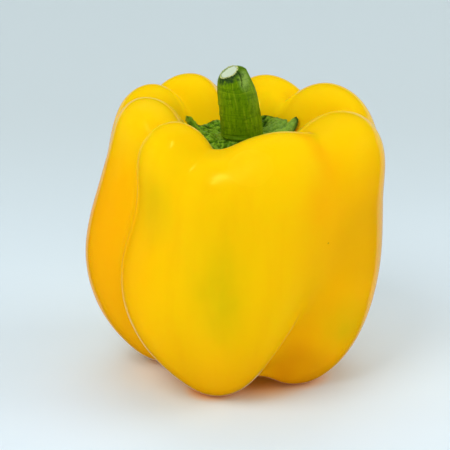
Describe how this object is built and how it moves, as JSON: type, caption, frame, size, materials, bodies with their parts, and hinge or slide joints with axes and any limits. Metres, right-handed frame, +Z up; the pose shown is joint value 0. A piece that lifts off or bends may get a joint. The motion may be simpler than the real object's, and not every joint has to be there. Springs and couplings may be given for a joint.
{
  "type": "bell pepper",
  "caption": "Whole yellow bell pepper with a blocky lobed fruit, a wrinkled green calyx and a short cut stem, standing on the tips of its lobes.",
  "frame": {"origin": "the middle of the underside of the bounding box, on the surface that the lobe tips stand on", "axes": "+Z up along the fruit's axis from the blossom end to the stem; -Y is the pepper's front, the side seen in the picture; +X is to the right there"},
  "size_m": [0.0874, 0.085, 0.0919],
  "materials": {
    "skin": null,
    "calyx": null,
    "stem": null
  },
  "bodies": {
    "root": {"fruit": "skin", "calyx": "calyx", "stem": "stem"}
  },
  "joints": []
}
